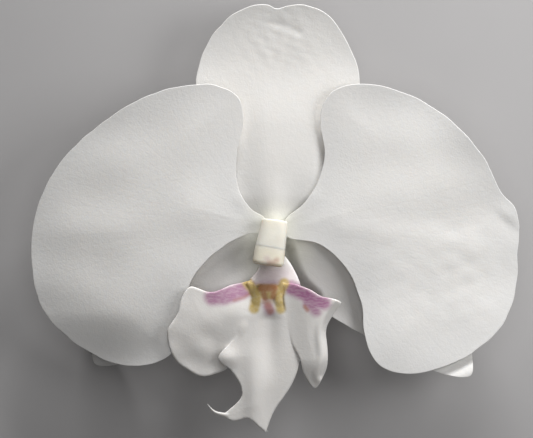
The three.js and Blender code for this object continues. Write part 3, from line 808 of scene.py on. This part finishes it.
def blade_material(name, colour, root_colour, root, heading, count):
    """White flesh with fine veins fanning from its root, where it turns yellow-green."""
    material, wire, shader, position = start_material(name)
    flat = wire.vector("MULTIPLY", position, (1.0, 1.0, 0.0))
    veins = use_group(wire, shared("Venation", venation_group), Position=flat,
                      Root=(root[0] * MM, root[1] * MM, 0.0), Heading=heading,
                      Spread=VEIN_SPREAD, Count=count, Width=VEIN_WIDTH)
    grain, clouds = living_skin(wire, position, 3200.0, 90.0)
    tone = wire.blend(clouds, tuple(colour), dulled(colour, 0.025))
    tone = wire.blend(wire.math("MULTIPLY", veins["Veins"], 0.08), tone, dulled(colour, 0.10))
    tone = wire.blend(wire.math("MULTIPLY", veins["Root Shade"], 0.6), tone, tuple(root_colour))
    relief = wire.math("ADD", wire.math("MULTIPLY", veins["Veins"], -0.15), grain)
    living_tissue(wire, shader, tone, grain, relief, BLADE_SURFACE, THIN_FLESH)
    return material


def marked_material(name, colours, ground, weight):
    """Flesh with pink, yellow and red-brown marks, as painted on the piece."""
    material, wire, shader, position = start_material(name)
    grain, clouds = living_skin(wire, position, 3600.0, 160.0)
    marks = wire.add("ShaderNodeAttribute", attribute_name="markings").outputs["Vector"]
    marks = wire.add("ShaderNodeSeparateXYZ", {"Vector": marks}).outputs
    streaks = wire.vector("MULTIPLY", position, (900.0, 2600.0, 900.0))
    streaks = wire.ramp(wire.noise(streaks, 1.0, 2.0), 0.3, 0.7, 0.78, 1.0)
    freckles = wire.ramp(wire.noise(position, 1500.0, 1.0), 0.42, 0.62, 0.88, 1.0)
    tone = wire.blend(clouds, tuple(ground), dulled(ground, 0.04))
    tone = wire.blend(wire.math("MULTIPLY", marks["X"], streaks), tone, tuple(colours.pink))
    tone = wire.blend(wire.math("MULTIPLY", marks["Y"], freckles), tone, tuple(colours.yellow))
    tone = wire.blend(wire.math("MULTIPLY", marks["Z"], freckles), tone, tuple(colours.spot))
    living_tissue(wire, shader, tone, grain, grain, MARKED_SURFACE, weight)
    return material


def waxy_material(name, colour, shade, low, high, cloud_scale=300.0, weight=0.3):
    """Waxy flesh that turns from a lower colour to another between two heights; where the lower
    colour is a darkened copy, it is painted shade.
    """
    material, wire, shader, position = start_material(name)
    grain, clouds = living_skin(wire, position, 3800.0, cloud_scale)
    height = wire.add("ShaderNodeSeparateXYZ", {"Vector": position}).outputs["Z"]
    tone = wire.blend(wire.ramp(height, low * MM, high * MM), tuple(shade), tuple(colour))
    tone = wire.blend(wire.math("MULTIPLY", clouds, 0.5), tone, dulled(colour, 0.12))
    living_tissue(wire, shader, tone, grain, grain, WAXY_SURFACE, weight)
    return material


def floor_material(colour):
    """Plain matte grey board, with a trace of unevenness."""
    material, wire, shader, position = start_material("floor_board")
    clouds = wire.ramp(wire.noise(position, 30.0, 3.0), 0.3, 0.7)
    tone = wire.blend(clouds, tuple(colour), dulled(colour, 0.03))
    wire.tree.links.new(tone, shader.inputs["Base Color"])
    shader.inputs["Roughness"].default_value = 0.75
    shader.inputs["Specular IOR Level"].default_value = 0.2
    return material


# What a user would change.


def length(name, description, default):
    return FloatProperty(name=name, description=description, default=default, min=0.00001,
                         subtype="DISTANCE", unit="LENGTH", precision=5)


def colour(name, description, default):
    return FloatVectorProperty(name=name, description=description, default=(*default, 1.0),
                               size=4, min=0.0, max=1.0, subtype="COLOR")


def power(name, description, default):
    return FloatProperty(name=name, description=description, default=default, min=0.0,
                         unit="POWER")


class OrchidSizes(bpy.types.PropertyGroup):
    sepal_core: length("Sepal middle", "Thickness of a sepal in its middle", 0.0009)
    sepal_edge: length("Sepal edge", "Thickness of a sepal at its edge", 0.00025)
    petal_core: length("Petal middle", "Thickness of a petal in its middle", 0.0009)
    petal_edge: length("Petal edge", "Thickness of a petal at its edge", 0.0002)
    lobe_core: length("Lip middle", "Thickness of the lip's lobes in their middle", 0.001)
    lobe_edge: length("Lip edge", "Thickness of the lip's lobes at their edge", 0.0006)
    lip_detail: length("Lip detail", "Size of the smallest step in the lip's skin", 0.00017)
    rim_ripple: length("Rim ripple", "How far a rim strays from its smooth outline", 0.00006)


class OrchidColours(bpy.types.PropertyGroup):
    petal: colour("Petal", "White of the petals", (0.87, 0.852, 0.825))
    sepal: colour("Sepal", "White of the sepals", (0.83, 0.81, 0.78))
    root: colour("Root", "Yellow-green at the roots of petals and sepals", (0.78, 0.79, 0.62))
    lip: colour("Lip", "White of the lip", (0.80, 0.775, 0.745))
    pink: colour("Pink", "Pink of the bands on the lip", (0.37, 0.15, 0.28))
    yellow: colour("Yellow", "Yellow of the callus", (0.57, 0.43, 0.16))
    spot: colour("Spots", "Red-brown of the callus spots", (0.42, 0.14, 0.07))
    column: colour("Column", "Cream of the column", (0.87, 0.84, 0.75))
    cap: colour("Anther cap", "Cream of the anther cap", (0.91, 0.85, 0.715))
    pollen: colour("Pollen", "Yellow of the pollen masses", (0.80, 0.50, 0.08))
    stalk: colour("Stalk", "Pale green of the stalk", (0.50, 0.58, 0.30))


class OrchidStudio(bpy.types.PropertyGroup):
    floor: colour("Floor", "Grey of the plain floor", (0.465, 0.455, 0.455))
    camera_height: length("Camera height", "Height of the camera above the floor", 0.62)
    view_width: length("View width", "Width of the picture at the petals", 0.1151)
    far: power("Far light", "Power of the low soft light far beyond the dorsal sepal", 2.45)
    upper: power("Upper light", "Power of the low soft light on the upper right", 0.52)
    near: power("Near light", "Power of the small soft light close on the right", 0.17)
    overhead: power("Overhead light", "Power of the soft light over the flower", 0.17)
    fill: FloatProperty(name="Fill", description="Strength of the even light all round",
                        default=0.04, min=0.0)


# One operator for each piece or group of like pieces, and one for the stage.


class ORCHID_OT_sepals(bpy.types.Operator):
    """Build the dorsal sepal and the two lateral sepals"""

    bl_idname = "orchid.sepals"
    bl_label = "Sepals"

    def execute(self, context):
        sizes, colours = context.scene.orchid_sizes, context.scene.orchid_colours
        core, edge = sizes.sepal_core / MM, sizes.sepal_edge / MM
        ripple = sizes.rim_ripple / MM
        rows = [
            ("dorsal_sepal", DORSAL_SEPAL, dorsal_height),
            ("left_lateral_sepal", LEFT_LATERAL_SEPAL, left_sepal_height),
            ("right_lateral_sepal", RIGHT_LATERAL_SEPAL, right_sepal_height),
        ]
        root, veins = (0, -6), 7.0
        for seed, (node, shape, height) in enumerate(rows, 31):
            tip_x, tip_y = shape["tip"]
            keel = lambda x, y, tip=shape["tip"]: sepal_keel(x, y, tip)
            part = blade(shape, height, core, edge, 240, 56, ripple, seed, keel)
            heading = math.atan2(tip_y - root[1], tip_x)
            material = blade_material(node + "_flesh", colours.sepal, colours.root, root,
                                      heading, veins)
            stand_for(make_object(node + "_look", [part]), node, material)
        return {"FINISHED"}


def sepal_keel(x, y, tip):
    """The low keel along the back of a sepal, which fades towards its tip."""
    along, off, length = sepal_axes(x, y, tip)
    return 0.35 * bump(off, 0.8) * (1 - step(along, 0.5 * length, 0.9 * length))


class ORCHID_OT_petals(bpy.types.Operator):
    """Build the two broad petals"""

    bl_idname = "orchid.petals"
    bl_label = "Petals"

    def execute(self, context):
        sizes, colours = context.scene.orchid_sizes, context.scene.orchid_colours
        core, edge = sizes.petal_core / MM, sizes.petal_edge / MM
        ripple = sizes.rim_ripple / MM
        rows = [
            ("left_petal", LEFT_PETAL, left_petal_height, (2.5, -1.8), math.pi),
            ("right_petal", RIGHT_PETAL, right_petal_height, (-2.5, -1.8), 0.0),
        ]
        veins = 5.0
        for seed, (node, shape, height, root, heading) in enumerate(rows, 41):
            part = blade(shape, height, core, edge, 280, 64, ripple, seed)
            material = blade_material(node + "_flesh", colours.petal, colours.root, root,
                                      heading, veins)
            stand_for(make_object(node + "_look", [part]), node, material)
        return {"FINISHED"}


class ORCHID_OT_lip(bpy.types.Operator):
    """Build the lip with its lobes, callus, claw and tendrils"""

    bl_idname = "orchid.lip"
    bl_label = "Lip"

    def execute(self, context):
        sizes, colours = context.scene.orchid_sizes, context.scene.orchid_colours
        core, edge = sizes.lobe_core / MM, sizes.lobe_edge / MM
        parts = [
            patch(MIDDLE_LOBE, middle_lobe_height, core, edge, 110, 44),
            blade(LEFT_LOBE, left_lobe_height, core, edge, 160, 30, 0.12, 51),
            blade(RIGHT_LOBE, right_lobe_height, core, edge, 160, 30, 0.1, 52),
            ball(**CALLUS_MOUND),
            tube(CLAW, 48, 24, squarish),
        ]
        parts += [tube(shape) for shape in LIP_RIDGES + CALLUS_WINGS + TENDRILS]
        piece = grown_together("lip_look", parts, sizes.lip_detail / MM, LIP_SOFTENING)
        x, y, _ = places(piece).T
        paint(piece, "markings", [lip_pink(x, y), lip_yellow(x, y), lip_spots(x, y)])
        material = marked_material("lip_flesh", colours, colours.lip, THIN_FLESH)
        stand_for(piece, "lip", material)
        return {"FINISHED"}


def strokes(x, y, paths, soft):
    """A mask that is 1 within the half width of any of some painted lines, and fades past it."""
    mask = np.zeros_like(x)
    for path, width, strength in paths:
        near = 1 - step(path_distance(x, y, path), width - soft, width + soft)
        mask = np.maximum(mask, near * strength)
    return mask


def lip_pink(x, y):
    """Pink bands along the upper edges of the side lobes, and a blush on the claw."""
    paths = [
        ([(-13.4, -17), (-11, -16.9), (-8, -16), (-5.8, -15)], 1.8, 0.9),
        ([(3.4, -15), (6, -16.2), (8.6, -18), (10.4, -18.2)], 1.5, 1.0),
        ([(7, -18.2), (8.8, -20)], 1.1, 0.9),
        ([(-5.6, -15), (-2, -14), (1.5, -14.2), (3.4, -15)], 1.0, 0.5),
        ([(-1.8, -18.2), (-1.2, -19.9)], 1.1, 0.7),
    ]
    claw = 0.3 * step(-y, 9, 12) * (1 - step(-y, 13, 17)) * bump(x + 0.6, 6)
    return np.maximum(strokes(x, y, paths, 0.85), claw)


def lip_yellow(x, y):
    """The yellow of the callus."""
    wings = [
        ([(-6, -13.9), (-4.8, -15.3), (-3.9, -17), (-4.5, -19.5)], 1.1, 1.0),
        ([(2, -14.1), (1.1, -15.6), (0.8, -17.2), (1.2, -19.6)], 1.05, 1.0),
        ([(-3.4, -15.9), (0.6, -16)], 1.6, 1.0),
        ([(-3.2, -17.8), (0.2, -17.8)], 0.7, 0.4),
    ]
    return strokes(x, y, wings, 0.45)


def lip_spots(x, y):
    """Red-brown marks in the middle of the callus, under it, and on the side lobes."""
    marks = [
        ([(-2.9, -15.1), (-0.2, -15.1)], 0.8, 0.75),
        ([(-2.6, -15.2), (-2.2, -17.3)], 0.6, 0.65),
        ([(-0.2, -15.2), (-0.4, -17.1)], 0.6, 0.65),
        ([(-1.5, -18.9), (-1, -20)], 0.8, 0.6),
        ([(6.4, -19.1), (6.9, -19.8)], 0.4, 0.7),
        ([(-8.8, -17.8), (-6.6, -17.1), (-5.6, -16.4)], 0.3, 0.45),
    ]
    return strokes(x, y, marks, 0.4)


class ORCHID_OT_column(bpy.types.Operator):
    """Build the column with its foot, and the anther cap on its head"""

    bl_idname = "orchid.column"
    bl_label = "Column"

    def execute(self, context):
        colours = context.scene.orchid_colours
        x, y, z = SEAM["place"]
        form = [tube(COLUMN, 48, 60, squarish), tube(COLUMN_STEM)]
        column, cap = (
            grown_together(name, form, *COLUMN_SKIN) for name in ("column_look", "anther_cap_look")
        )
        carved(column, half_space((x, y + SEAM["gap"], z), SEAM["turn"], True), "INTERSECT")
        carved(column, grown_together("foot", [tube(FOOT)], *FOOT_SKIN), "UNION")
        # Low down the column takes its root's yellow-green, darkened as painted shade, and turns to
        # cream above.
        material = waxy_material("column_flesh", colours.column, dulled(colours.root, 0.25),
                                 11, 14, weight=THICK_FLESH)
        stand_for(column, "column", material)
        carved(cap, half_space((x, y, z), SEAM["turn"], False), "INTERSECT")
        carved(cap, make_object("hollow", [ball(**CAP_HOLLOW)]), "DIFFERENCE")
        x, y, _ = places(cap).T
        paint(cap, "markings", [cap_blush(x, y), cap_rim(x, y), cap_spot(x, y)])
        material = marked_material("anther_cap_flesh", colours, colours.cap, THICK_FLESH)
        stand_for(cap, "anther_cap", material)
        return {"FINISHED"}


def squarish(t, angle):
    """Flattens a tube's four sides a little, and rounds its far end."""
    exponent = 2.6  # 2 would be round
    sides = np.abs(np.cos(angle)) ** exponent + np.abs(np.sin(angle)) ** exponent
    return sides ** (-1 / exponent) * (1 - 0.1 * step(t, 0.93, 1) ** 2)


def cap_blush(x, y):
    """A faint pink blush near the cap's lower end."""
    return 0.3 * bump(np.hypot(x + 1.8, y + 8.9), 0.8)


def cap_rim(x, y):
    """A yellow-brown tint along the cap's lower rim, widest at its left corner."""
    rim = [([(-5, -8.8), (-4.2, -10), (-2, -10.6), (0.8, -10.2)], 0.4, 0.25)]
    return strokes(x, y, rim, 0.4)


def cap_spot(x, y):
    """An orange-brown spot right of the middle of the lower rim."""
    return strokes(x, y, [([(-1.2, -9.7), (-0.2, -9.5), (0.4, -9.1)], 0.6, 0.4)], 0.5)


class ORCHID_OT_pollen(bpy.types.Operator):
    """Build the two pollen masses and the stipe that carries them"""

    bl_idname = "orchid.pollen"
    bl_label = "Pollen"

    def execute(self, context):
        colours = context.scene.orchid_colours
        x, y, z = POLLEN["centre"]
        cleft = lambda d: 1 - 0.16 * bump(d[:, 2] + 0.1, 0.12) * (d[:, 1] < 0.2)
        for side, node in ((-1, "left_pollinium"), (1, "right_pollinium")):
            centre = (x + side * POLLEN["spacing"] / 2, y, z)
            piece = make_object(node + "_look", [ball(centre, POLLEN["half"], 48, 32, cleft)])
            # Each pollen mass is darker on its lower side: painted shade.
            material = waxy_material(node + "_wax", colours.pollen, dulled(colours.pollen, 0.3),
                                     13.9, 14.9, cloud_scale=1200.0, weight=0.15)
            stand_for(piece, node, material)
        stipe = make_object("stipe_look", [tube(STIPE, 20, 20)])
        # The stipe is darker towards its foot: painted shade.
        material = waxy_material("stipe_flesh", colours.cap, dulled(colours.cap, 0.25),
                                 12.9, 14)
        stand_for(stipe, "stipe", material)
        return {"FINISHED"}


class ORCHID_OT_stalk(bpy.types.Operator):
    """Build the short ribbed stalk behind the flower"""

    bl_idname = "orchid.stalk"
    bl_label = "Stalk"

    def execute(self, context):
        colours = context.scene.orchid_colours
        ribs = lambda t, angle: 0.955 + 0.045 * np.cos(6 * angle + 2.4 * t) * (1 - 0.7 * t)
        stalk = make_object("stalk_look", [tube(STALK, 72, 90, ribs)])
        material = waxy_material("stalk_skin", colours.sepal, colours.stalk, 3.5, 9.5)
        stand_for(stalk, "stalk", material)
        return {"FINISHED"}


class ORCHID_OT_studio(bpy.types.Operator):
    """Build the plain floor, the soft lights and the camera"""

    bl_idname = "orchid.studio"
    bl_label = "Studio"

    def execute(self, context):
        scene, settings = context.scene, context.scene.orchid_studio
        corners = [(x * FLOOR_HALF, y * FLOOR_HALF, FLOOR_LEVEL)
                   for x, y in ((-1, -1), (1, -1), (1, 1), (-1, 1))]
        floor = make_object("studio_floor", [(np.array(corners, float), [(0, 1, 2, 3)])])
        floor.data.materials.append(floor_material(settings.floor))
        world = bpy.data.worlds.new("Even light")
        world.use_nodes = True
        background = world.node_tree.nodes["Background"]
        background.inputs["Color"].default_value = (0.98, 0.99, 1.0, 1.0)
        background.inputs["Strength"].default_value = settings.fill
        scene.world = world
        for name, place, width, setting in LAMPS:
            shine = bpy.data.lights.new(name, "AREA")
            shine.shape = "DISK"
            shine.size = width
            shine.energy = getattr(settings, setting)
            lamp = bpy.data.objects.new(name, shine)
            lamp.location = place
            lamp.rotation_euler = lamp.location.to_track_quat("Z", "Y").to_euler()
            lamp.visible_camera = False
            scene.collection.objects.link(lamp)
        eye = bpy.data.cameras.new("Overhead")
        eye.sensor_width = SENSOR_WIDTH
        distance = settings.camera_height - PETAL_LEVEL
        eye.lens = SENSOR_WIDTH * distance / settings.view_width
        camera = bpy.data.objects.new("Overhead", eye)
        camera.location = (*CAMERA_OVER, settings.camera_height)
        scene.collection.objects.link(camera)
        scene.camera = camera
        scene.view_settings.view_transform = "Standard"
        return {"FINISHED"}


class ORCHID_PT_builder(bpy.types.Panel):
    """The builder's buttons and settings in the sidebar of the 3D view"""

    bl_idname = "ORCHID_PT_builder"
    bl_label = "Moth Orchid Flower"
    bl_space_type = "VIEW_3D"
    bl_region_type = "UI"
    bl_category = "Orchid"

    def draw(self, context):
        for operator in OPERATORS:
            self.layout.operator(operator.bl_idname)
        for name in SETTINGS:
            box = self.layout.box()
            group = getattr(context.scene, name)
            for label in group.bl_rna.properties.keys():
                if label not in ("rna_type", "name"):
                    box.prop(group, label)


SETTINGS = {
    "orchid_sizes": OrchidSizes, "orchid_colours": OrchidColours, "orchid_studio": OrchidStudio,
}
OPERATORS = [
    ORCHID_OT_sepals, ORCHID_OT_petals, ORCHID_OT_lip, ORCHID_OT_column, ORCHID_OT_pollen,
    ORCHID_OT_stalk, ORCHID_OT_studio,
]


def register():
    for cls in [*SETTINGS.values(), *OPERATORS, ORCHID_PT_builder]:
        bpy.utils.register_class(cls)
    for name, group in SETTINGS.items():
        setattr(bpy.types.Scene, name, PointerProperty(type=group))


def unregister():
    for name in SETTINGS:
        delattr(bpy.types.Scene, name)
    for cls in reversed([*SETTINGS.values(), *OPERATORS, ORCHID_PT_builder]):
        bpy.utils.unregister_class(cls)


def main():
    """Builds every piece and the stage."""
    register()
    for operator in OPERATORS:
        group, name = operator.bl_idname.split(".")
        getattr(getattr(bpy.ops, group), name)()


if __name__ == "__main__":
    main()
